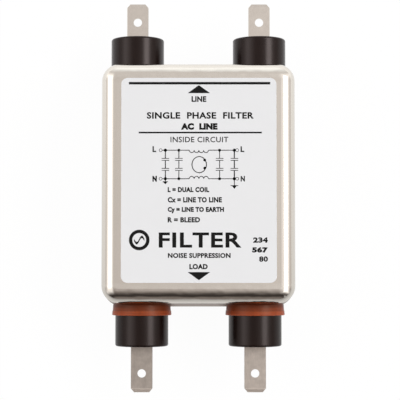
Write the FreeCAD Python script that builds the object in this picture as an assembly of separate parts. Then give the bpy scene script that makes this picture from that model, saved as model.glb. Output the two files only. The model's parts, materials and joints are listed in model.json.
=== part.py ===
import FreeCAD, Part
import os
from math import cos, degrees, pi, radians, sin

# Mains line filter in a drawn steel can, lying on its rear cover.
# The origin is the centre of the rear cover's outer face. +Z points out of the labelled face,
# +Y points to the LINE terminals, -Y to the LOAD terminals, and +X is to the right of the label.
# All sizes are in millimetres.

V = FreeCAD.Vector
UP = V(0, 0, 1)
ORIGIN = V(0, 0, 0)
TINY = 1e-6

# Drawn can
case_width = 55.6
case_length = 68.9
case_height = 32.5
can_sheet = 0.8
can_corner_radius = 5.0
can_front_radius = 4.2

# Rear cover, a shallow pressed lid that slips over the open end of the can
cover_sheet = 1.3
cover_skirt_height = 4.5
cover_clearance = 0.2
cover_edge_radius = 0.8

# Label
label_width = 44.3
label_length = 58.5
label_thickness = 0.15
label_corner_radius = 1.9
label_shift_x = 0.15
label_shift_y = 0.7

# Self-clinching nuts in the rear cover, one near each end, for 6-32 screws
fixing_inset = 9.05
nut_body_diameter = 8.0
nut_body_height = 3.0
nut_shank_diameter = 5.0
nut_bore_diameter = 2.84
nut_edge = 0.3

# Quick-connect tabs
tab_width = 6.35
tab_thickness = 0.8
tab_hole_diameter = 2.5
tab_hole_from_tip = 5.5
tab_corner_across = 0.95
tab_corner_along = 1.15
tab_bevel_length = 0.9
tab_bevel_depth = 0.25
tab_edge = 0.12
tab_shoulder_width = 8.0
tab_pad_length = 6.0
line_tab_exposed = 10.65
load_tab_exposed = 13.55

# Bushings, their seals and the rings that hold them from inside
line_terminal_inset = 9.75
load_terminal_inset = 11.1
bushing_diameter = 15.6
bushing_height = 9.1
bushing_edge_radius = 0.6
spigot_diameter = 8.6
spigot_clearance = 0.05
spigot_proud = 0.3
slot_clearance = 0.05
slot_mouth = 0.35
seal_band_diameter = 17.1
seal_band_flare = 0.15
seal_lip_diameter = 17.5
seal_lip_flare = 0.1
seal_band_height = 2.4
seal_lip_height = 1.3
seal_rounding = 0.8
seal_edge = 0.15
retainer_diameter = 12.4
retainer_thickness = 2.0
retainer_land = 0.4
retainer_cone = 0.6

# Insulating liner
liner_thickness = 0.4
liner_clearance = 0.1
liner_top_margin = 1.0
liner_nut_clearance = 0.3

# Component board
board_thickness = 1.6
board_end_gap = 0.4
board_side_gap = 0.5
lead_clearance = 0.1
lead_tail = 1.5
lead_root = 1.0

# Choke
core_outer_diameter = 27.0
core_inner_diameter = 15.0
core_height = 9.0
core_edge = 0.8
magnet_wire_diameter = 1.2
magnet_wire_gap = 0.1
turn_gap = 0.05
winding_span = 130.0
winding_bend = 0.8
winding_sides = 6
lead_on_tab = 4.5
lead_before_tab = 0.9
divider_thickness = 1.2
divider_clearance = 0.05

# X capacitors
x_capacitor_length = 13.0
x_capacitor_thickness = 6.0
x_capacitor_height = 11.0
x_capacitor_edge = 0.5
x_capacitor_pitch = 10.0
x_capacitor_lead = 0.8
x_capacitor_gap = 1.6

# Y capacitors
y_capacitor_diameter = 9.0
y_capacitor_thickness = 4.5
y_capacitor_rim = 1.6
y_capacitor_pitch = 5.0
y_capacitor_lead = 0.6
y_capacitor_stand = 1.5
y_capacitor_gap = 1.0

# Bleed resistor
resistor_length = 9.0
resistor_cap_length = 2.2
resistor_cap_diameter = 3.2
resistor_waist_diameter = 2.8
resistor_pitch = 12.5
resistor_lead = 0.6
resistor_gap = 1.0

# Earth strap
strap_width = 6.0
strap_thickness = 0.5
strap_foot_on_board = 2.4
strap_leg_height = 6.0

# Places that follow from the sizes above
can_bottom = cover_sheet
wall_y = case_length / 2
inner_wall_y = wall_y - can_sheet
inner_wall_x = case_width / 2 - can_sheet
terminal_z = case_height / 2
seal_height = seal_band_height + seal_lip_height
retainer_inner_y = inner_wall_y - retainer_thickness
shoulder_y = retainer_inner_y - spigot_proud
pad_end_y = shoulder_y - tab_pad_length
tab_top = terminal_z + tab_thickness / 2
board_top = terminal_z - tab_thickness / 2
board_bottom = board_top - board_thickness
board_half_length = shoulder_y - board_end_gap
board_half_width = inner_wall_x - liner_clearance - liner_thickness - board_side_gap
wire_radius = magnet_wire_diameter / 2
core_bottom = board_top + magnet_wire_diameter + magnet_wire_gap
core_top = core_bottom + core_height
turn_inner_radius = core_inner_diameter / 2 - magnet_wire_gap - wire_radius
turn_outer_radius = core_outer_diameter / 2 + magnet_wire_gap + wire_radius
choke_radius = turn_outer_radius + wire_radius
x_capacitor_y = choke_radius + x_capacitor_gap + x_capacitor_thickness / 2
y_capacitor_x = choke_radius + y_capacitor_gap + y_capacitor_thickness / 2
resistor_y = x_capacitor_y + x_capacitor_thickness / 2 + resistor_gap + resistor_cap_diameter / 2
fixing_y = case_length / 2 - fixing_inset

# Each terminal: name, side of the can, end of the can, distance from the centre line,
# bare blade length, and how far the seal holds the bushing off the wall.
line_terminal_x = case_width / 2 - line_terminal_inset
load_terminal_x = case_width / 2 - load_terminal_inset
terminals = [
    ("line", "left", -line_terminal_x, 1, line_tab_exposed, 0),
    ("line", "right", line_terminal_x, 1, line_tab_exposed, 0),
    ("load", "left", -load_terminal_x, -1, load_tab_exposed, seal_height),
    ("load", "right", load_terminal_x, -1, load_tab_exposed, seal_height),
]


def rounded_block(width, length, bottom, height, radius):
    """Upright block with a rounded rectangle for its plan, centred on the Z axis."""
    block = Part.makeBox(width, length, height, V(-width / 2, -length / 2, bottom))
    upright = [e for e in block.Edges if e.BoundBox.ZLength > height / 2]
    return block.makeFillet(radius, upright)


def edges_at(shape, height):
    """Edges of a shape that lie wholly at one height."""
    level = []
    for edge in shape.Edges:
        box = edge.BoundBox
        if abs(box.ZMin - height) < TINY and abs(box.ZMax - height) < TINY:
            level.append(edge)
    return level


def cylinder(diameter, length, base=ORIGIN):
    """Upright cylinder standing on its base point."""
    return Part.makeCylinder(diameter / 2, length, base)


def prism(points, travel):
    """Solid that a closed outline sweeps when it travels along one straight line."""
    return Part.Face(Part.makePolygon(points + [points[0]])).extrude(travel)


def turned(profile):
    """Solid of revolution about the Z axis from (radius, height) points."""
    points = [V(r, 0, z) for r, z in profile]
    outline = Part.makePolygon(points + [points[0]])
    return Part.Face(outline).revolve(ORIGIN, UP, 360)


def circles_of(shape, diameter, height):
    """Circular edges about the Z axis with a given diameter and height."""
    found = []
    for edge in edges_at(shape, height):
        if isinstance(edge.Curve, Part.Circle) and abs(edge.Curve.Radius - diameter / 2) < TINY:
            found.append(edge)
    return found


def at_terminal(shape, x, end, distance):
    """Turn a piece made about Z to point out of one end wall, and set it on the terminal's axis."""
    placed = shape.copy()
    placed.rotate(ORIGIN, V(1, 0, 0), -90 * end)
    placed.translate(V(x, end * distance, terminal_z))
    return placed


def housing_can():
    """Drawn shell, open at the back, with a hole for each spigot."""
    can_height = case_height - can_bottom
    outer = rounded_block(case_width, case_length, can_bottom, can_height, can_corner_radius)
    outer = outer.makeFillet(can_front_radius, edges_at(outer, case_height))
    inner_radius = can_corner_radius - can_sheet
    inner_front = can_front_radius - can_sheet
    inner_top = case_height - can_sheet
    inner_height = inner_top - can_bottom
    inner = rounded_block(2 * inner_wall_x, 2 * inner_wall_y, can_bottom, inner_height, inner_radius)
    inner = inner.makeFillet(inner_front, edges_at(inner, inner_top))
    can = outer.cut(inner)
    for _, _, x, end, _, _ in terminals:
        hole = cylinder(spigot_diameter + 2 * spigot_clearance, 3 * can_sheet, V(0, 0, -2 * can_sheet))
        can = can.cut(at_terminal(hole, x, end, wall_y))
    return can


def rear_cover():
    """Pressed lid whose skirt goes round the can and whose floor carries the two nuts."""
    inner_width = case_width + 2 * cover_clearance
    inner_length = case_length + 2 * cover_clearance
    inner_radius = can_corner_radius + cover_clearance
    outer_width = inner_width + 2 * cover_sheet
    outer_length = inner_length + 2 * cover_sheet
    cover = rounded_block(outer_width, outer_length, 0, cover_skirt_height, inner_radius + cover_sheet)
    cover = cover.makeFillet(cover_edge_radius, edges_at(cover, 0))
    room = rounded_block(inner_width, inner_length, cover_sheet, cover_skirt_height, inner_radius)
    cover = cover.cut(room)
    for side in (-1, 1):
        hole = cylinder(nut_shank_diameter, 3 * cover_sheet, V(0, side * fixing_y, -cover_sheet))
        cover = cover.cut(hole)
    return cover


def mounting_nuts():
    """Two round clinch nuts: the shank fills the cover's hole and the body sits inside on its floor."""
    bore = nut_bore_diameter / 2
    shank = nut_shank_diameter / 2
    body = nut_body_diameter / 2
    top = cover_sheet + nut_body_height
    nut = turned([
        (bore + nut_edge, 0), (shank, 0), (shank, cover_sheet),
        (body, cover_sheet), (body, top - nut_edge), (body - nut_edge, top),
        (bore + nut_edge, top), (bore, top - nut_edge), (bore, nut_edge),
    ])
    nuts = []
    for side in (-1, 1):
        placed = nut.copy()
        placed.translate(V(0, side * fixing_y, 0))
        nuts.append(placed)
    return Part.makeCompound(nuts)


def face_label():
    """Printed film on the front face."""
    label = rounded_block(label_width, label_length, case_height, label_thickness, label_corner_radius)
    label.translate(V(label_shift_x, label_shift_y, 0))
    return label


def tab(x, end, exposed, stand_off):
    """Blade with shoulders that stop on the inner end of the bushing and a pad that lies on the board."""
    tip = wall_y + stand_off + bushing_height + exposed
    half = tab_width / 2
    face = tab_thickness / 2
    strip = Part.makeBox(tab_width, tip - shoulder_y, tab_thickness, V(-half, shoulder_y, -face))
    strip = strip.makeChamfer(tab_edge, [e for e in strip.Edges if e.BoundBox.YLength > tab_width])
    corner_start = tip - tab_corner_along
    corner_end = half - tab_corner_across
    plan = [
        (-half, shoulder_y), (-half, corner_start), (-corner_end, tip),
        (corner_end, tip), (half, corner_start), (half, shoulder_y),
    ]
    clipped = prism([V(px, py, -face) for px, py in plan], V(0, 0, tab_thickness))
    bevel_start = tip - tab_bevel_length
    bevel_end = face - tab_bevel_depth
    side = [
        (shoulder_y, -face), (bevel_start, -face), (tip, -bevel_end),
        (tip, bevel_end), (bevel_start, face), (shoulder_y, face),
    ]
    bevelled = prism([V(-half, py, pz) for py, pz in side], V(tab_width, 0, 0))
    corner = V(-tab_shoulder_width / 2, pad_end_y, -face)
    pad = Part.makeBox(tab_shoulder_width, tab_pad_length, tab_thickness, corner)
    blade = strip.common(clipped).common(bevelled).fuse(pad).removeSplitter()
    hole = cylinder(tab_hole_diameter, 2 * tab_thickness, V(0, tip - tab_hole_from_tip, -tab_thickness))
    blade = blade.cut(hole)
    if end < 0:
        blade.rotate(ORIGIN, UP, 180)
    blade.translate(V(x, 0, terminal_z))
    return blade


def bushing(x, end, stand_off):
    """Collar outside the wall and a spigot through it, with a slot for the blade."""
    collar = cylinder(bushing_diameter, bushing_height)
    collar = collar.makeFillet(bushing_edge_radius, circles_of(collar, bushing_diameter, bushing_height))
    spigot_length = stand_off + wall_y - shoulder_y
    spigot = cylinder(spigot_diameter, spigot_length, V(0, 0, -spigot_length))
    body = collar.fuse(spigot).removeSplitter()
    slot_width = tab_width + 2 * slot_clearance
    slot_height = tab_thickness + 2 * slot_clearance
    slot_length = 2 * (spigot_length + bushing_height)
    corner = V(-slot_width / 2, -slot_height / 2, -slot_length / 2)
    body = body.cut(Part.makeBox(slot_width, slot_height, slot_length, corner))
    mouth_width = slot_width + 2 * slot_mouth
    mouth_height = slot_height + 2 * slot_mouth
    corner = V(-mouth_width / 2, -mouth_height / 2, bushing_height - slot_mouth)
    body = body.cut(Part.makeBox(mouth_width, mouth_height, 2 * slot_mouth, corner))
    return at_terminal(body, x, end, wall_y + stand_off)


def seal_ring(x, end):
    """Rubber ring: a tall band, rounded at the can, and a wider lip under the bushing, both flared."""
    bore = spigot_diameter / 2 + spigot_clearance
    band = seal_band_diameter / 2
    foot = band - seal_band_flare
    lip = seal_lip_diameter / 2
    ring = turned([
        (bore, 0), (foot, 0), (band, seal_band_height),
        (lip - seal_lip_flare, seal_band_height), (lip, seal_height - seal_edge),
        (lip - seal_edge, seal_height), (bore, seal_height),
    ])
    ring = ring.makeFillet(seal_rounding, circles_of(ring, 2 * foot, 0))
    return at_terminal(ring, x, end, wall_y)


def retaining_ring(x, end):
    """Ring pressed on the spigot inside the can, coned towards the wall to clear the can's corner."""
    bore = spigot_diameter / 2 + spigot_clearance
    rim = retainer_diameter / 2
    ring = turned([
        (bore, 0), (rim, 0), (rim, retainer_thickness - retainer_cone),
        (bore + retainer_land, retainer_thickness), (bore, retainer_thickness),
    ])
    return at_terminal(ring, x, end, retainer_inner_y)


def insulating_liner():
    """Folded sheet: flat on the cover's floor, with both long sides turned up along the can."""
    outer_x = inner_wall_x - liner_clearance
    inner_x = outer_x - liner_thickness
    top = case_height - can_front_radius - liner_top_margin
    half_length = inner_wall_y - (can_corner_radius - can_sheet)
    floor = cover_sheet
    fold = floor + liner_thickness
    section = [
        (-outer_x, floor), (outer_x, floor), (outer_x, top), (inner_x, top),
        (inner_x, fold), (-inner_x, fold), (-inner_x, top), (-outer_x, top),
    ]
    liner = prism([V(px, -half_length, pz) for px, pz in section], V(0, 2 * half_length, 0))
    for side in (-1, 1):
        size = nut_body_diameter + 2 * liner_nut_clearance
        hole = cylinder(size, 3 * liner_thickness, V(0, side * fixing_y, floor - liner_thickness))
        liner = liner.cut(hole)
    return liner


def lead_places():
    """Every lead that goes through the board: x, y and diameter."""
    places = []
    for side in (-1, 1):
        for end in (-1, 1):
            places.append((side * x_capacitor_pitch / 2, end * x_capacitor_y, x_capacitor_lead))
            places.append((side * y_capacitor_x, end * y_capacitor_pitch / 2, y_capacitor_lead))
        places.append((side * resistor_pitch / 2, resistor_y, resistor_lead))
    return places


def component_board():
    """Board between the four tabs, with a hole for each lead."""
    corner = can_corner_radius - can_sheet
    width = 2 * board_half_width
    board = rounded_block(width, 2 * board_half_length, board_bottom, board_thickness, corner)
    for x, y, diameter in lead_places():
        below = V(x, y, board_bottom - board_thickness)
        board = board.cut(cylinder(diameter + 2 * lead_clearance, 3 * board_thickness, below))
    return board


def lead(x, y, diameter, top):
    """Straight lead from inside its component down through the board."""
    tail = board_bottom - lead_tail
    return cylinder(diameter, top - tail, V(x, y, tail))


def choke_core():
    """Coated ferrite ring, lying flat over the lower runs of its windings."""
    outer = cylinder(core_outer_diameter, core_height, V(0, 0, core_bottom))
    window = cylinder(core_inner_diameter, 3 * core_height, V(0, 0, core_bottom - core_height))
    core = outer.cut(window)
    rims = edges_at(core, core_bottom) + edges_at(core, core_top)
    return core.makeChamfer(core_edge, rims)


def choke_divider():
    """Board across the window of the core that keeps the two windings apart."""
    reach = core_inner_diameter / 2 - divider_clearance
    height = core_top - board_top
    corner = V(-divider_thickness / 2, -reach, board_top)
    plate = Part.makeBox(divider_thickness, 2 * reach, height, corner)
    return plate.common(cylinder(2 * reach, height, V(0, 0, board_top)))


def polar(radius, angle, z):
    """Point at a radius and an angle in degrees about the Z axis."""
    return V(radius * cos(radians(angle)), radius * sin(radians(angle)), z)


def with_cut_corners(points, distance):
    """Path in which each corner becomes two points, a set distance before and after it."""
    path = [points[0]]
    for before, corner, after in zip(points, points[1:], points[2:]):
        path.append(corner + (before - corner).normalize() * distance)
        path.append(corner + (after - corner).normalize() * distance)
    path.append(points[-1])
    return path


def bent_wire(path, radius, sides):
    """Solid of a wire along straight runs, which meet on the plane that halves the angle between them."""
    first = (path[1] - path[0]).normalize()
    across = first.cross(UP).normalize()
    upward = across.cross(first)
    turns = [2 * pi * (k + 0.5) / sides for k in range(sides)]
    rings = [[path[0] + across * (radius * cos(a)) + upward * (radius * sin(a)) for a in turns]]
    for index in range(1, len(path)):
        run = (path[index] - path[index - 1]).normalize()
        normal = run
        if index + 1 < len(path):
            normal = run + (path[index + 1] - path[index]).normalize()
        ring = []
        for point in rings[-1]:
            travel = (path[index] - point).dot(normal) / run.dot(normal)
            ring.append(point + run * travel)
        rings.append(ring)
    faces = [Part.Face(Part.makePolygon(ring + [ring[0]])) for ring in (rings[0], rings[-1])]
    for near, far in zip(rings, rings[1:]):
        for k in range(sides):
            n = (k + 1) % sides
            faces.append(Part.Face(Part.makePolygon([near[k], near[n], far[n], far[k], near[k]])))
    solid = Part.Solid(Part.Shell(faces))
    if solid.Volume < 0:
        solid.reverse()
    return solid


def choke_winding():
    """One winding on the left half of the core, from the LINE tab round the core to the LOAD tab."""
    pitch = degrees((magnet_wire_diameter + turn_gap) / turn_inner_radius)
    turn_count = int(winding_span / pitch)
    first_angle = 180 - (turn_count - 1) * pitch / 2
    low = board_top + wire_radius
    high = core_top + magnet_wire_gap + wire_radius
    on_tab = tab_top + wire_radius
    corners = [polar(turn_outer_radius, first_angle - pitch / 2, low)]
    for turn in range(turn_count):
        angle = first_angle + turn * pitch
        corners.append(polar(turn_inner_radius, angle, low))
        corners.append(polar(turn_inner_radius, angle, high))
        corners.append(polar(turn_outer_radius, angle + pitch / 2, high))
        corners.append(polar(turn_outer_radius, angle + pitch / 2, low))
    line_end = [
        V(-line_terminal_x, pad_end_y + lead_on_tab, on_tab),
        V(-line_terminal_x, pad_end_y - lead_before_tab, on_tab),
    ]
    load_end = [
        V(-load_terminal_x, -pad_end_y + lead_before_tab, on_tab),
        V(-load_terminal_x, -pad_end_y - lead_on_tab, on_tab),
    ]
    path = with_cut_corners(line_end + corners + load_end, winding_bend)
    return bent_wire(path, wire_radius, winding_sides)


def x_capacitor(end):
    """Boxed film capacitor standing on the board."""
    size = V(x_capacitor_length, x_capacitor_thickness, x_capacitor_height)
    corner = V(-size.x / 2, end * x_capacitor_y - size.y / 2, board_top)
    body = Part.makeBox(size.x, size.y, size.z, corner)
    above = [e for e in body.Edges if e.BoundBox.ZMax > board_top + TINY]
    body = body.makeChamfer(x_capacitor_edge, above)
    for side in (-1, 1):
        x = side * x_capacitor_pitch / 2
        body = body.fuse(lead(x, end * x_capacitor_y, x_capacitor_lead, board_top + lead_root))
    return body.removeSplitter()


def y_capacitor(side):
    """Dipped ceramic disc that stands on edge on its two leads."""
    radius = y_capacitor_diameter / 2
    half = y_capacitor_thickness / 2
    rim = y_capacitor_rim / 2
    shoulder = radius - (half - rim)
    disc = turned([
        (0, -half), (shoulder, -half), (radius, -rim),
        (radius, rim), (shoulder, half), (0, half),
    ])
    disc.rotate(ORIGIN, V(0, 1, 0), 90)
    centre_z = board_top + y_capacitor_stand + radius
    disc.translate(V(side * y_capacitor_x, 0, centre_z))
    for end in (-1, 1):
        y = end * y_capacitor_pitch / 2
        disc = disc.fuse(lead(side * y_capacitor_x, y, y_capacitor_lead, centre_z))
    return disc.removeSplitter()


def bleed_resistor():
    """Axial resistor lying on the board, with its leads bent down through it."""
    cap = resistor_cap_diameter / 2
    waist = resistor_waist_diameter / 2
    step = cap - waist
    half = resistor_length / 2
    inner = half - resistor_cap_length
    body = turned([
        (0, -half), (cap - step, -half), (cap, -half + step), (cap, -inner - step), (waist, -inner),
        (waist, inner), (cap, inner + step), (cap, half - step), (cap - step, half), (0, half),
    ])
    body.rotate(ORIGIN, V(0, 1, 0), 90)
    axis_z = board_top + cap
    body.translate(V(0, resistor_y, axis_z))
    bend = 2 * resistor_lead
    for side in (-1, 1):
        end_x = side * resistor_pitch / 2
        start = V(side * (half - lead_root), resistor_y, axis_z)
        before = V(end_x - side * bend, resistor_y, axis_z)
        sag = bend * (1 - cos(pi / 4))
        middle = V(end_x - side * sag, resistor_y, axis_z - sag)
        after = V(end_x, resistor_y, axis_z - bend)
        tail = V(end_x, resistor_y, board_bottom - lead_tail)
        turn = Part.Arc(before, middle, after).toShape()
        edges = [Part.makeLine(start, before), turn, Part.makeLine(after, tail)]
        section = Part.Wire(Part.makeCircle(resistor_lead / 2, start, V(side, 0, 0)))
        body = body.fuse(Part.Wire(edges).makePipeShell([section], True, True))
    return body.removeSplitter()


def earth_strap():
    """Bent strip: its foot lies on the board and its leg stands against the LOAD end wall."""
    foot = -(board_half_length - strap_foot_on_board)
    wall = -inner_wall_y
    side = [
        (foot, board_top), (foot, board_top + strap_thickness),
        (wall + strap_thickness, board_top + strap_thickness),
        (wall + strap_thickness, board_top + strap_leg_height),
        (wall, board_top + strap_leg_height), (wall, board_top),
    ]
    return prism([V(-strap_width / 2, py, pz) for py, pz in side], V(strap_width, 0, 0))


def all_nodes():
    """Every separate piece under its name."""
    winding = choke_winding()
    nodes = {
        "housing_can": housing_can(),
        "rear_cover": rear_cover(),
        "mounting_nuts": mounting_nuts(),
        "face_label": face_label(),
        "insulating_liner": insulating_liner(),
        "component_board": component_board(),
        "choke_core": choke_core(),
        "choke_divider": choke_divider(),
        "choke_winding_left": winding,
        "choke_winding_right": winding.mirror(ORIGIN, V(1, 0, 0)),
        "x_capacitor_line": x_capacitor(1),
        "x_capacitor_load": x_capacitor(-1),
        "y_capacitor_left": y_capacitor(-1),
        "y_capacitor_right": y_capacitor(1),
        "bleed_resistor": bleed_resistor(),
        "earth_strap": earth_strap(),
    }
    for which, hand, x, end, exposed, stand_off in terminals:
        place = f"{which}_{{}}_{hand}"
        nodes[place.format("tab")] = tab(x, end, exposed, stand_off)
        nodes[place.format("bushing")] = bushing(x, end, stand_off)
        nodes[place.format("retaining_ring")] = retaining_ring(x, end)
        if stand_off:
            nodes[place.format("seal_ring")] = seal_ring(x, end)
    return nodes


os.makedirs("parts", exist_ok=True)
for name, shape in all_nodes().items():
    shape.exportStep(f"parts/{name}.step")
    print(f"{name}: {len(shape.Solids)} solid, valid {shape.isValid()}, {shape.Volume:.1f} mm3")
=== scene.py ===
import json
from math import cos, pi, radians, sin
import bmesh
import bpy
from mathutils import Matrix, Vector


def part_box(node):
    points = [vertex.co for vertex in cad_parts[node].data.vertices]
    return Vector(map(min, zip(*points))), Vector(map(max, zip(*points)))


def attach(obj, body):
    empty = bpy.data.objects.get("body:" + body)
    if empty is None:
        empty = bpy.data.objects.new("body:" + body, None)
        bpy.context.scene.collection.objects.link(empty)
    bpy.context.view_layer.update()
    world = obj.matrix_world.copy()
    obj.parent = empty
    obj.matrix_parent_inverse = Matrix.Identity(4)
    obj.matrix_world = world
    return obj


# Looks of the line filter: finishes, print on the label, threads in the nuts, floor, light and camera. The
# frame is the solids' own: +Z out of the labelled face, +Y to the LINE terminals, the rear face on Z = 0.
# Lengths are in metres, and only the print is laid out in millimetres.

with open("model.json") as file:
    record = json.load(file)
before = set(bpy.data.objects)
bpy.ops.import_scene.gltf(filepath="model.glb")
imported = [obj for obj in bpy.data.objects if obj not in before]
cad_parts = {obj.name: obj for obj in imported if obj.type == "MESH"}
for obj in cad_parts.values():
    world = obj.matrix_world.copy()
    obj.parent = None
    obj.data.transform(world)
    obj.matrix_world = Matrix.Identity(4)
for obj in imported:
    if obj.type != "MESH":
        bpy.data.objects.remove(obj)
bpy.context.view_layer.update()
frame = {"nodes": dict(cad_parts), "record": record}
scene = bpy.context.scene
MM = 0.001
white = (1.0, 1.0, 1.0, 1.0)

# Camera, nearly straight over the label and a little towards the LOAD end
camera_place = Vector((0.467, -25.151, 430.482)) * MM
camera_tilt = radians(2.898)
camera_lens = 126.0
sensor_width = 36.0

# Floor
floor_size = 4.0
floor_drop = 0.02 * MM
floor_colour = (0.96, 0.96, 0.96, 1.0)
floor_glow = 0.96
# How bright the metal mirrors it far on the LOAD side and far on the LINE side, and between which places
# along Y that changes
mirrored_floor = (0.4, 1.15)
mirrored_floor_ends = (-0.26, 0.17)

# Studio light by direction: brightness of its even part from the LOAD side (-1) to the LINE side (+1)
sky_peak = 1.35
sky_stops = [
    (-1.0, 0.25), (-0.955, 0.20), (-0.89, 0.06), (-0.81, 0.04), (-0.61, 0.11), (-0.36, 0.28), (-0.10, 0.56),
    (0.0, 0.67), (0.14, 0.73), (0.72, 0.75), (0.87, 0.97), (0.94, 1.2), (1.0, sky_peak),
]
# Its colour where it is dark, over the label and where it is brightest, and how bright the last two are
shade_colour = (1.0, 0.84, 0.77)
sky_colour = (1.0, 0.945, 0.92)
glare_colour = (0.98, 1.0, 1.01)
sky_bright = 0.7
sky_glare = 1.0
# Soft boxes in the sky: where each starts, is full, starts to end and ends from left to right; its middle
# along Y, how far from there it is full and how far it reaches; and the brightness that it adds
soft_boxes = [
    ((-1.02, -0.86, -0.55, -0.33), (0.0, 0.40, 0.76), 0.8),
    ((-0.94, -0.80, -0.82, -0.50), (0.1, 0.10, 0.35), 1.5),
    ((-0.10, 0.55, 0.86, 0.98), (0.0, 0.40, 0.74), 0.55),
    ((0.44, 0.55, 0.73, 0.84), (0.14, 0.12, 0.28), 6.2),
    ((0.35, 0.50, 0.80, 0.92), (-0.32, 0.12, 0.26), 0.85),
    ((0.42, 0.56, 0.90, 1.20), (-0.84, 0.02, 0.10), 0.5),
]


def linear(*values):
    """Linear colour from red, green and blue between 0 and 255."""
    shares = [value / 255 for value in values]
    return tuple(((s + 0.055) / 1.055) ** 2.4 if s > 0.04045 else s / 12.92 for s in shares)


def scaled(colour, factor):
    """Colour with four values, brighter or darker by a factor."""
    return tuple(c * factor for c in colour[:3]) + (1.0,)


def add(tree, kind, inputs=None, **settings):
    """New node with its settings, and its inputs linked or set."""
    new = tree.nodes.new(kind)
    for key, value in settings.items():
        setattr(new, key, value)
    for key, value in (inputs or {}).items():
        if isinstance(value, bpy.types.NodeSocket):
            tree.links.new(value, new.inputs[key])
        else:
            new.inputs[key].default_value = value
    return new


def maths(tree, operation, first, second=0.0, third=0.0):
    """Result of one arithmetic node."""
    return add(tree, "ShaderNodeMath", {0: first, 1: second, 2: third}, operation=operation).outputs[0]


def ease(tree, value, start, end):
    """0 before start, 1 after end and a smooth change between them."""
    inputs = {"Value": value, "From Min": start, "From Max": end, "To Min": 0.0, "To Max": 1.0}
    return add(tree, "ShaderNodeMapRange", inputs, interpolation_type="SMOOTHSTEP").outputs["Result"]


def coordinates(tree, kind="Object"):
    """Place in the frame, or direction in the sky for a world's Generated."""
    return add(tree, "ShaderNodeTexCoord").outputs[kind]


def split(tree, vector):
    """X, Y and Z of a vector."""
    return add(tree, "ShaderNodeSeparateXYZ", {"Vector": vector}).outputs


# Noise stays around the middle of 0 to 1, nearly always within this range
noise_range = (0.3, 0.7)
noise_roughness = 0.55


def noise(tree, place, size, detail=3.0, stretch=(1, 1, 1)):
    """Noise with features of one size, stretched along the axes."""
    placed = add(tree, "ShaderNodeMapping", {"Vector": place, "Scale": [1.0 / s for s in stretch]})
    scales = {"Scale": 1.0 / size, "Detail": detail, "Roughness": noise_roughness}
    return add(tree, "ShaderNodeTexNoise", {"Vector": placed.outputs[0], **scales}).outputs["Fac"]


def spread(tree, value, low, high):
    """Noise spread from low to high."""
    start, end = noise_range
    inputs = {"Value": value, "From Min": start, "From Max": end, "To Min": low, "To Max": high}
    return add(tree, "ShaderNodeMapRange", inputs).outputs["Result"]


# Finishes. In every one, a slow drift and a fine grain share the changes of tone and roughness
drift_share = 0.6
grain_share = 0.4
grain_detail = 4.0

# Can: plated steel, and how it is uneven where it was drawn over the front radius: how far in from the ends
# and the front that reaches, the size and stretch of its waves, and their depth
can_grey = linear(227, 221, 212)
drawn_reach = 6 * MM
drawn_size = 2.6 * MM
drawn_detail = 1.0
drawn_stretch = (1.6, 1, 1)
drawn_relief = 0.13 * MM

# Tabs: bright plating, and duller plating for two of them with the light that is left; the bevel of their
# tips is scuffed, fading out between two places above the tip
tab_grey = linear(222, 215, 206)
worn_grey = linear(222, 211, 201)
worn_tabs = {"load_tab_left": 0.595, "load_tab_right": 0.70}
scuffed_start = 1.3 * MM
scuffed_full = 0.9 * MM
scuffed_light = 0.8
scuffed_roughness = 0.6

# Seal rings: share of the colour left at the can, darkened there as painted shade, how much brighter the lip
# is painted, as painted light, and where that starts above the lower edge, and the size and strength of the
# fine rings round them
seal_red = (0.265, 0.05, 0.015)
seal_painted_shade = 0.3
lip_painted_light = 0.15
lip_start = 1.4 * MM
lip_full = 1.2 * MM
fine_ring_size = 0.4 * MM
fine_ring_detail = 2.0
fine_ring_stretch = (40, 1, 40)
fine_ring_shares = (0.82, 1.18)

bushing_brown = (0.0065, 0.0025, 0.0016)
ink_black = (0.004, 0.004, 0.004)

# Parts inside: colour, roughness, 1 for metal, change of tone and size of its drift
inner_finishes = {
    "liner_board": (linear(170, 160, 140), 0.8, 0.0, 0.08, 3 * MM),
    "board_laminate": (linear(190, 160, 110), 0.5, 0.0, 0.06, 3 * MM),
    "core_coating": (linear(70, 110, 80), 0.4, 0.0, 0.06, 3 * MM),
    "divider_board": (linear(220, 218, 205), 0.6, 0.0, 0.04, 3 * MM),
    "winding_copper": (linear(200, 110, 60), 0.25, 1.0, 0.08, 1 * MM),
    "capacitor_box": (linear(215, 175, 60), 0.35, 0.0, 0.05, 3 * MM),
    "capacitor_disc": (linear(60, 90, 160), 0.3, 0.0, 0.06, 2 * MM),
    "resistor_coating": (linear(205, 180, 135), 0.4, 0.0, 0.05, 1 * MM),
    "strap_metal": (linear(205, 200, 190), 0.3, 1.0, 0.05, 2 * MM),
    "retainer_plastic": ((0.012, 0.009, 0.008), 0.4, 0.0, 0.1, 2 * MM),
}


def new_material(name):
    """Material with an empty node tree."""
    material = bpy.data.materials.new(name)
    material.use_nodes = True
    material.node_tree.nodes.clear()
    return material


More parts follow.
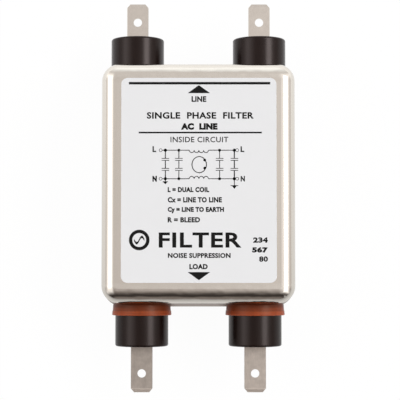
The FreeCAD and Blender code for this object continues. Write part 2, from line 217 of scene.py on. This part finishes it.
def surface(name, colour, roughness, metallic=0.0, tone=0.05, tone_size=6 * MM, uneven=0.04,
            grain_size=0.3 * MM, grain_stretch=(1, 1, 1), relief=0.004 * MM, sockets=None):
    """Material whose colour drifts by tone and roughness by uneven, with a fine grain in relief."""
    material = new_material(name)
    tree = material.node_tree
    place = coordinates(tree)
    drift = noise(tree, place, tone_size)
    grain = noise(tree, place, grain_size, grain_detail, grain_stretch)
    both = maths(tree, "MULTIPLY_ADD", drift, drift_share, maths(tree, "MULTIPLY", grain, grain_share))
    colours = {"A": scaled(colour, 1 - tone), "B": scaled(colour, 1 + tone)}
    mixed = add(tree, "ShaderNodeMix", {"Factor": spread(tree, both, 0.0, 1.0), **colours}, data_type="RGBA")
    bump = add(tree, "ShaderNodeBump", {"Height": grain, "Distance": relief, "Strength": 1.0})
    shader = add(tree, "ShaderNodeBsdfPrincipled", {
        "Base Color": mixed.outputs["Result"],
        "Metallic": metallic,
        "Normal": bump.outputs["Normal"],
        "Roughness": spread(tree, both, roughness - uneven, roughness + uneven),
        **(sockets or {}),
    })
    add(tree, "ShaderNodeOutputMaterial", {"Surface": shader.outputs[0]})
    return material


def more(material, socket, kind, inputs, under, **settings):
    """Lay one more node over what a socket of the material's shader has now."""
    tree = material.node_tree
    shader = next(node for node in tree.nodes if node.type == "BSDF_PRINCIPLED")
    now = shader.inputs[socket].links[0].from_socket
    new = add(tree, kind, {**inputs, under: now}, **settings)
    result = next(output for output in new.outputs if output.enabled)
    tree.links.new(result, shader.inputs[socket])


def can_finish(name):
    """Bright plated steel, a little uneven where it was drawn over the front radius at both ends."""
    material = surface(name, can_grey, 0.13, metallic=1.0, tone=0.02, tone_size=9 * MM, uneven=0.02,
                       grain_size=0.5 * MM, grain_stretch=(1, 6, 6), relief=0.0006 * MM)
    tree = material.node_tree
    place = coordinates(tree)
    parts = split(tree, place)
    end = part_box("housing_can")[1]
    outwards = maths(tree, "ABSOLUTE", parts["Y"])
    ends = ease(tree, outwards, end.y - drawn_reach, end.y - drawn_reach / 2)
    front = ease(tree, parts["Z"], end.z - drawn_reach, end.z - drawn_reach / 2)
    waves = noise(tree, place, drawn_size, drawn_detail, drawn_stretch)
    height = maths(tree, "MULTIPLY", waves, maths(tree, "MULTIPLY", ends, front))
    more(material, "Normal", "ShaderNodeBump", {"Height": height, "Distance": drawn_relief}, "Normal")
    return material


def tab_finish(name, colour, tone=0.04, roughness=0.2):
    """Tin plating with fine lines along the blade."""
    return surface(name, colour, roughness, metallic=1.0, tone=tone, tone_size=1.5 * MM, uneven=0.03,
                   grain_size=0.25 * MM, grain_stretch=(1, 5, 1), relief=0.001 * MM)


def worn_tab_finish(name, light):
    """Duller plating, scuffed at the bevel of the tip."""
    material = tab_finish(name, scaled(worn_grey, light), tone=0.14, roughness=0.45)
    tree = material.node_tree
    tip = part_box(name)[0].y
    scuffed = ease(tree, split(tree, coordinates(tree))["Y"], tip + scuffed_start, tip + scuffed_full)
    more(material, "Roughness", "ShaderNodeMix", {"Factor": scuffed, "B": scuffed_roughness}, "A")
    colour = {"Factor": scuffed, "B": scaled(worn_grey, scuffed_light)}
    more(material, "Base Color", "ShaderNodeMix", colour, "A", data_type="RGBA")
    return material


def seal_finish(name):
    """Red-brown rubber, with painted shade darkening it towards the can and painted light making the lip
    brighter.
    """
    material = surface(name, seal_red, 0.37, tone=0.12, tone_size=1.5 * MM, uneven=0.06,
                       grain_size=0.25 * MM, grain_stretch=(4, 1, 4),
                       sockets={"IOR": 1.33, "Specular Tint": (1.0, 0.75, 0.6, 1.0)})
    tree = material.node_tree
    place = coordinates(tree)
    along = split(tree, place)["Y"]
    low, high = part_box("load_seal_ring_left")
    # Painted shade: the rubber gets darker towards the can, where the can shades it
    painted_shade = maths(tree, "MULTIPLY_ADD", ease(tree, along, high.y, low.y), 1 - seal_painted_shade, seal_painted_shade)
    # Painted light: the lip is painted brighter than the band, as if it were better lit
    lip = ease(tree, along, low.y + lip_start, low.y + lip_full)
    lip = maths(tree, "MULTIPLY_ADD", lip, lip_painted_light, 1.0)
    rings = noise(tree, place, fine_ring_size, fine_ring_detail, fine_ring_stretch)
    rings = spread(tree, rings, *fine_ring_shares)
    share = maths(tree, "MULTIPLY", maths(tree, "MULTIPLY", painted_shade, lip), rings)
    shade = add(tree, "ShaderNodeCombineColor", {"Red": share, "Green": share, "Blue": share}).outputs[0]
    more(material, "Base Color", "ShaderNodeMix", {"Factor": 1.0, "B": shade}, "A",
         data_type="RGBA", blend_type="MULTIPLY")
    return material


def make_finishes():
    """Finish of every material slot."""
    slots = {
        "can_steel": can_finish("can_steel"),
        "cover_steel": surface("cover_steel", linear(196, 192, 188), 0.25, metallic=1.0, tone=0.03,
                               tone_size=8 * MM, uneven=0.03, grain_size=0.5 * MM, grain_stretch=(1, 6, 1)),
        "nut_steel": surface("nut_steel", linear(190, 190, 192), 0.3, metallic=1.0, tone_size=2 * MM,
                             uneven=0.05, grain_size=0.2 * MM),
        "label_film": surface("label_film", linear(222, 224, 226), 0.5, tone=0.008, tone_size=5 * MM,
                              uneven=0.03, grain_size=0.15 * MM),
        "tab_metal": tab_finish("tab_metal", tab_grey),
        "bushing_plastic": surface("bushing_plastic", bushing_brown, 0.25, tone=0.15, tone_size=3 * MM,
                                   uneven=0.02, grain_size=0.2 * MM,
                                   sockets={"IOR": 1.35, "Specular Tint": (1.0, 0.87, 0.85, 1.0)}),
        "seal_rubber": seal_finish("seal_rubber"),
    }
    for slot, values in inner_finishes.items():
        slots[slot] = surface(slot, *values)
    return slots


def dress():
    """Give each node the finish of its material slot, and the worn tabs their own."""
    for part in frame["record"]["subparts"]:
        node = frame["nodes"][part["node"]]
        node.data.materials.clear()
        node.data.materials.append(finishes[part["material_slot"]])
    for name, light in worn_tabs.items():
        frame["nodes"][name].data.materials[0] = worn_tab_finish(name, light)


# Print on the label. Every place is in millimetres from the label's centre.
ink_thickness = 0.02
ink_proud = 0.01
circle_sides = 48
small_circle_sides = 20

# Rules and arrows
rule_x = 0.2
rule_y = 27.7
rule_length = 40.4
rule_line = 0.71
thin_rule_x = 0.4
thin_rule_y = 13.55
thin_rule_length = 35.1
thin_rule_line = 0.46
arrow_half_width = 3.2
arrow_height = 2.3
line_arrow_y = 24.85
load_arrow_y = -26.2

# Ring with one wave in it
mark_centre = (-16.95, -17.1)
mark_radius = 2.45
mark_line = 0.95
wave_half_width = 1.47
wave_height = 0.9
wave_line = 0.7
wave_steps = 20

# Letters: space between them, half the depth and the smoothness of the raw ones
letter_spacing = 1.08
letter_depth = 0.5
letter_smoothness = 3
# Words: text, place along X and Y, height, width, weight, and which part of the text stands at the place
words = [
    ("LINE", 0.0, 23.15, 1.62, 4.2, 0.048, "CENTER"),
    ("SINGLE  PHASE  FILTER", 0.4, 18.45, 1.9, 30.5, 0.035, "CENTER"),
    ("AC  LINE", 0.1, 15.3, 1.9, 10.4, 0.075, "CENTER"),
    ("INSIDE CIRCUIT", 0.15, 11.55, 1.6, 16.5, 0.015, "CENTER"),
    ("L = DUAL COIL", -8.87, -2.75, 1.48, 11.8, 0.055, "LEFT"),
    ("Cx = LINE TO LINE", -8.87, -5.65, 1.55, 15.4, 0.052, "LEFT"),
    ("Cy = LINE TO EARTH", -8.87, -8.6, 1.8, 16.0, 0.06, "LEFT"),
    ("R = BLEED", -8.87, -11.35, 1.48, 9.2, 0.048, "LEFT"),
    ("FILTER", 0.35, -17.1, 4.3, 23.5, 0.025, "CENTER"),
    ("NOISE SUPPRESSION", 0.1, -21.5, 1.42, 17.8, 0.045, "CENTER"),
    ("234", 19.6, -17.1, 1.55, 4.2, 0.055, "RIGHT"),
    ("567", 19.6, -19.9, 1.6, 4.5, 0.065, "RIGHT"),
    ("80", 19.6, -22.5, 1.55, 2.5, 0.045, "RIGHT"),
    ("LOAD", -0.1, -24.65, 1.5, 5.2, 0.055, "CENTER"),
    ("L", -12.7, 8.8, 1.65, 1.05, 0.04, "CENTER"),
    ("N", -12.6, 0.35, 1.65, 1.25, 0.07, "CENTER"),
    ("L", 12.4, 8.8, 1.65, 1.05, 0.04, "CENTER"),
    ("N", 12.5, 0.35, 1.6, 1.2, 0.05, "CENTER"),
]

# Circuit: two wires with a coil in the middle of each, a core between the coils, and four branches from wire
# to wire with two capacitors each
hair = 0.22
wire_ys = (8.5, 0.35)
end_circle_x = 10.9
end_circle_radius = 0.42
end_circle_line = 0.154
# Branches: place, width of the line and radius of the dots
branches = ((-9.55, 0.27, 0.46), (-5.7, 0.24, 0.42), (5.9, 0.23, 0.42), (10.1, 0.32, 0.46))
capacitor_ys = (5.88, 3.03)
capacitor_gap = 0.57
capacitor_width = 2.15
plate_line = 0.2
coil_turns = 4
coil_half_width = 2.72
coil_depth = 0.68
coil_sides = 12
core_centre = (0.1, 4.38)
core_radii = (2.06, 2.3)
core_line = 0.25
core_dots = ((1.65, 5.7), (1.65, 3.4))
core_dot_radius = 0.4
# Earth signs: place, height and half width of the arrowhead, half width of the bar
earths = ((-9.55, -0.5, 0.75, 0.65, 0.75), (10.1, -1.6, 0.95, 0.75, 1.1))


def skin(shape, rows, closed=False):
    """Solid through rows of points that run along it, with two end faces or closed to a ring."""
    rows = [[shape.verts.new(point) for point in row] for row in rows]
    count = len(rows[0])
    for near, far in zip(rows, rows[1:] + rows[:1]):
        for k in range(count if closed else count - 1):
            n = (k + 1) % count
            shape.faces.new((near[k], near[n], far[n], far[k]))
    if not closed:
        for k in (0, count - 1):
            shape.faces.new([row[k] for row in rows])


def ribbon(shape, left, right, closed=False):
    """Printed line between its two edges."""
    top = [[(x, y, 0.0) for x, y in edge] for edge in (left, right)]
    bottom = [[(x, y, -ink_thickness) for x, y in edge] for edge in (right, left)]
    skin(shape, top + bottom, closed)


def stroke(shape, x1, y1, x2, y2, width):
    """Straight printed line."""
    start, end = Vector((x1, y1)), Vector((x2, y2))
    along = (end - start).normalized()
    side = Vector((-along.y, along.x)) * (width / 2)
    ribbon(shape, [start + side, end + side], [start - side, end - side])


def arc(shape, centre, radii, end, width, steps):
    """Printed arc round a centre from angle 0 to an end angle, or the whole ring."""
    left, right = [], []
    whole = end == 2 * pi
    for k in range(steps if whole else steps + 1):
        angle = end * k / steps
        for edge, grow in ((left, -width / 2), (right, width / 2)):
            x = centre[0] + (radii[0] + grow) * cos(angle)
            y = centre[1] + (radii[1] + grow) * sin(angle)
            edge.append((x, y))
    ribbon(shape, left, right, whole)


def plate(shape, points):
    """Printed area inside one outline."""
    top = [shape.verts.new((x, y, 0.0)) for x, y in points]
    bottom = [shape.verts.new((x, y, -ink_thickness)) for x, y in points]
    shape.faces.new(top)
    shape.faces.new(bottom[::-1])
    for k in range(len(points)):
        shape.faces.new((top[k - 1], bottom[k - 1], bottom[k], top[k]))


def dot(shape, x, y, radius):
    """Printed dot."""
    angles = [2 * pi * k / small_circle_sides for k in range(small_circle_sides)]
    plate(shape, [(x + radius * cos(a), y + radius * sin(a)) for a in angles])


def draw_marks(shape):
    """Two rules, the arrows to the two ends, and the ring with a wave."""
    for x, y, length, line in ((rule_x, rule_y, rule_length, rule_line),
                               (thin_rule_x, thin_rule_y, thin_rule_length, thin_rule_line)):
        stroke(shape, x - length / 2, y, x + length / 2, y, line)
    for base, rise in ((line_arrow_y, arrow_height), (load_arrow_y, -arrow_height)):
        plate(shape, [(-arrow_half_width, base), (arrow_half_width, base), (0.0, base + rise)])
    arc(shape, mark_centre, (mark_radius, mark_radius), 2 * pi, mark_line, circle_sides)
    upper, lower = [], []
    for k in range(wave_steps + 1):
        share = 2 * k / wave_steps - 1
        x = mark_centre[0] + wave_half_width * share
        y = mark_centre[1] + wave_height * sin(pi * share)
        upper.append((x, y + wave_line / 2))
        lower.append((x, y - wave_line / 2))
    ribbon(shape, upper, lower)


def draw_circuit(shape):
    """Circuit of the filter."""
    for wire_y, bulge in zip(wire_ys, (-1, 1)):
        for side in (-1, 1):
            wire_end = side * (end_circle_x - end_circle_radius)
            stroke(shape, side * coil_half_width, wire_y, wire_end, wire_y, hair)
            radii = (end_circle_radius, end_circle_radius)
            arc(shape, (side * end_circle_x, wire_y), radii, 2 * pi, end_circle_line, small_circle_sides)
        half_turn = coil_half_width / coil_turns
        for turn in range(coil_turns):
            centre = (-coil_half_width + (2 * turn + 1) * half_turn, wire_y)
            arc(shape, centre, (half_turn, coil_depth), bulge * pi, hair, coil_sides)
    plate_ys = [y + side * capacitor_gap / 2 for y in capacitor_ys for side in (1, -1)]
    line_ends = [wire_ys[0], *plate_ys, wire_ys[1]]
    for x, line, radius in branches:
        for wire_y in wire_ys:
            dot(shape, x, wire_y, radius)
        for upper, lower in zip(line_ends[::2], line_ends[1::2]):
            stroke(shape, x, upper, x, lower, line)
        for y in plate_ys:
            stroke(shape, x - capacitor_width / 2, y, x + capacitor_width / 2, y, plate_line)
    arc(shape, core_centre, core_radii, 2 * pi, core_line, circle_sides)
    for x, y in core_dots:
        dot(shape, x, y, core_dot_radius)
    for x, y, height, half_width, bar in earths:
        stroke(shape, x, wire_ys[1], x, y, hair)
        stroke(shape, x - bar, y, x + bar, y, plate_line)
        plate(shape, [(x - half_width, y), (x + half_width, y), (x, y - height)])


def draw_words(shape):
    """Every word, from the plain built-in letters, stretched to its height and width."""
    for text, x, y, height, width, weight, given in words:
        curve = bpy.data.curves.new("word", "FONT")
        curve.body = text
        curve.offset = weight
        curve.space_character = letter_spacing
        curve.extrude = letter_depth
        curve.resolution_u = letter_smoothness
        holder = bpy.data.objects.new("word", curve)
        scene.collection.objects.link(holder)
        bpy.context.view_layer.update()
        made = holder.evaluated_get(bpy.context.evaluated_depsgraph_get())
        mesh = bpy.data.meshes.new_from_object(made)
        xs = [v.co.x for v in mesh.vertices]
        ys = [v.co.y for v in mesh.vertices]
        left, right, bottom, top = min(xs), max(xs), min(ys), max(ys)
        size = Matrix.Diagonal((width / (right - left), height / (top - bottom), ink_thickness, 1.0))
        anchor = {"LEFT": left, "CENTER": (left + right) / 2, "RIGHT": right}[given]
        origin = Vector((anchor, (bottom + top) / 2, letter_depth))
        mesh.transform(Matrix.Translation((x, y, 0.0)) @ size @ Matrix.Translation(-origin))
        shape.from_mesh(mesh)
        bpy.data.objects.remove(holder)
        bpy.data.curves.remove(curve)
        bpy.data.meshes.remove(mesh)


def new_piece(name, shape, material, place=Matrix()):
    """Object from a finished shape, moved to its place."""
    bmesh.ops.recalc_face_normals(shape, faces=shape.faces[:])
    mesh = bpy.data.meshes.new(name)
    shape.to_mesh(mesh)
    shape.free()
    mesh.transform(place)
    mesh.materials.append(material)
    piece = bpy.data.objects.new(name, mesh)
    scene.collection.objects.link(piece)
    return piece


def printed(name, draw):
    """One printed piece on the label."""
    low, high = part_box("face_label")
    middle = (low + high) / 2
    place = Matrix.Translation((middle.x, middle.y, high.z + ink_proud * MM)) @ Matrix.Scale(MM, 4)
    shape = bmesh.new()
    draw(shape)
    piece = new_piece(name, shape, ink, place)
    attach(piece, "root")


# Thread of the two nuts: 6-32, a ridge that starts in the wall of the bore, with a plain stretch at its ends
nut_y = 25.4 * MM
thread_pitch = 0.794 * MM
thread_base = 1.45 * MM
thread_crest = 1.25 * MM
thread_half_width = 0.34 * MM
thread_inset = 0.45 * MM
thread_sides = 32


def make_thread(name, y):
    """Ridge of the thread in the bore of one nut."""
    low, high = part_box("mounting_nuts")
    turns = (high.z - low.z - 2 * thread_inset) / thread_pitch
    section = ((thread_base, -thread_half_width), (thread_crest, 0.0), (thread_base, thread_half_width))
    rows = ([], [], [])
    for k in range(int(turns * thread_sides) + 1):
        angle = 2 * pi * k / thread_sides
        middle = low.z + thread_inset + thread_pitch * k / thread_sides
        for row, (radius, rise) in zip(rows, section):
            row.append((radius * cos(angle), y + radius * sin(angle), middle + rise))
    shape = bmesh.new()
    skin(shape, rows)
    thread = new_piece(name, shape, finishes["nut_steel"])
    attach(thread, "root")


def make_floor():
    """Pale floor that looks white and keeps the object's shadow."""
    material = new_material("floor")
    tree = material.node_tree
    path = add(tree, "ShaderNodeLightPath").outputs
    direct = path["Is Camera Ray"]
    mirrored = maths(tree, "MAXIMUM", path["Is Glossy Ray"], path["Is Transmission Ray"])
    share = maths(tree, "MULTIPLY", maths(tree, "MAXIMUM", direct, mirrored), floor_glow)
    low, high = mirrored_floor
    rise = ease(tree, split(tree, coordinates(tree))["Y"], *mirrored_floor_ends)
    shown = maths(tree, "MULTIPLY_ADD", rise, high - low, low)
    strength = add(tree, "ShaderNodeMix", {"Factor": direct, "A": shown, "B": 1.0}).outputs["Result"]
    matt = add(tree, "ShaderNodeBsdfDiffuse", {"Color": floor_colour})
    glow = add(tree, "ShaderNodeEmission", {"Color": white, "Strength": strength})
    mixed = add(tree, "ShaderNodeMixShader", {0: share, 1: matt.outputs[0], 2: glow.outputs[0]})
    add(tree, "ShaderNodeOutputMaterial", {"Surface": mixed.outputs[0]})
    half = floor_size / 2
    corners = [(x * half, y * half, -floor_drop) for x, y in ((-1, -1), (1, -1), (1, 1), (-1, 1))]
    mesh = bpy.data.meshes.new("floor")
    mesh.from_pydata(corners, [], [(0, 1, 2, 3)])
    mesh.materials.append(material)
    floor = bpy.data.objects.new("floor", mesh)
    scene.collection.objects.link(floor)


def sky_ramp(tree, along):
    """Even part of the sky's light as a share of its peak, by the direction from -1 to 1 along Y."""
    half = 0.5
    ramp = add(tree, "ShaderNodeValToRGB", {"Fac": maths(tree, "MULTIPLY_ADD", along, half, half)})
    stops = ramp.color_ramp.elements
    while len(stops) < len(sky_stops):
        stops.new(half)
    for stop, (place, brightness) in zip(stops, sky_stops):
        share = min(brightness / sky_bright, 1.0)
        glare = min(max(brightness - sky_bright, 0.0) / (sky_glare - sky_bright), 1.0)
        tint = Vector(shade_colour).lerp(Vector(sky_colour), share).lerp(Vector(glare_colour), glare)
        stop.position = place * half + half
        stop.color = [brightness / sky_peak * c for c in tint] + [1.0]
    return ramp.outputs["Color"]


def make_light():
    """Soft studio light from all round, brighter to the sides and dark low at the LOAD end."""
    world = bpy.data.worlds.new("studio")
    world.use_nodes = True
    scene.world = world
    tree = world.node_tree
    tree.nodes.clear()
    parts = split(tree, coordinates(tree, "Generated"))
    shares = sky_ramp(tree, parts["Y"])
    even = add(tree, "ShaderNodeVectorMath", {0: shares, "Scale": sky_peak}, operation="SCALE")
    boxes = 0.0
    for (start, full, falling, end), (middle, near, far), brightness in soft_boxes:
        risen = ease(tree, parts["X"], start, full)
        across = maths(tree, "SUBTRACT", risen, ease(tree, parts["X"], falling, end))
        reach = maths(tree, "ABSOLUTE", maths(tree, "SUBTRACT", parts["Y"], middle))
        lengthways = maths(tree, "SUBTRACT", 1.0, ease(tree, reach, near, far))
        boxes = maths(tree, "MULTIPLY_ADD", maths(tree, "MULTIPLY", across, lengthways), brightness, boxes)
    total = add(tree, "ShaderNodeVectorMath", {0: even.outputs[0], 1: boxes})
    light = add(tree, "ShaderNodeBackground", {"Color": total.outputs[0], "Strength": 1.0})
    plain = add(tree, "ShaderNodeBackground", {"Color": white, "Strength": 1.0})
    direct = add(tree, "ShaderNodeLightPath").outputs["Is Camera Ray"]
    mixed = add(tree, "ShaderNodeMixShader", {0: direct, 1: light.outputs[0], 2: plain.outputs[0]})
    add(tree, "ShaderNodeOutputWorld", {"Surface": mixed.outputs[0]})


def make_camera():
    """Camera of the photograph."""
    data = bpy.data.cameras.new("camera")
    data.lens = camera_lens
    data.sensor_width = sensor_width
    camera = bpy.data.objects.new("camera", data)
    camera.location = camera_place
    camera.rotation_euler = (camera_tilt, 0.0, 0.0)
    scene.collection.objects.link(camera)
    scene.camera = camera


finishes = make_finishes()
ink = surface("label_ink", ink_black, 0.45, tone=0.25, tone_size=1.5 * MM, uneven=0.05,
              grain_size=0.12 * MM, sockets={"Specular IOR Level": 0.15})
dress()
printed("print_marks", draw_marks)
printed("print_circuit", draw_circuit)
printed("print_words", draw_words)
make_thread("thread_line_end", nut_y)
make_thread("thread_load_end", -nut_y)
make_floor()
make_light()
make_camera()
scene.view_settings.view_transform = "Standard"
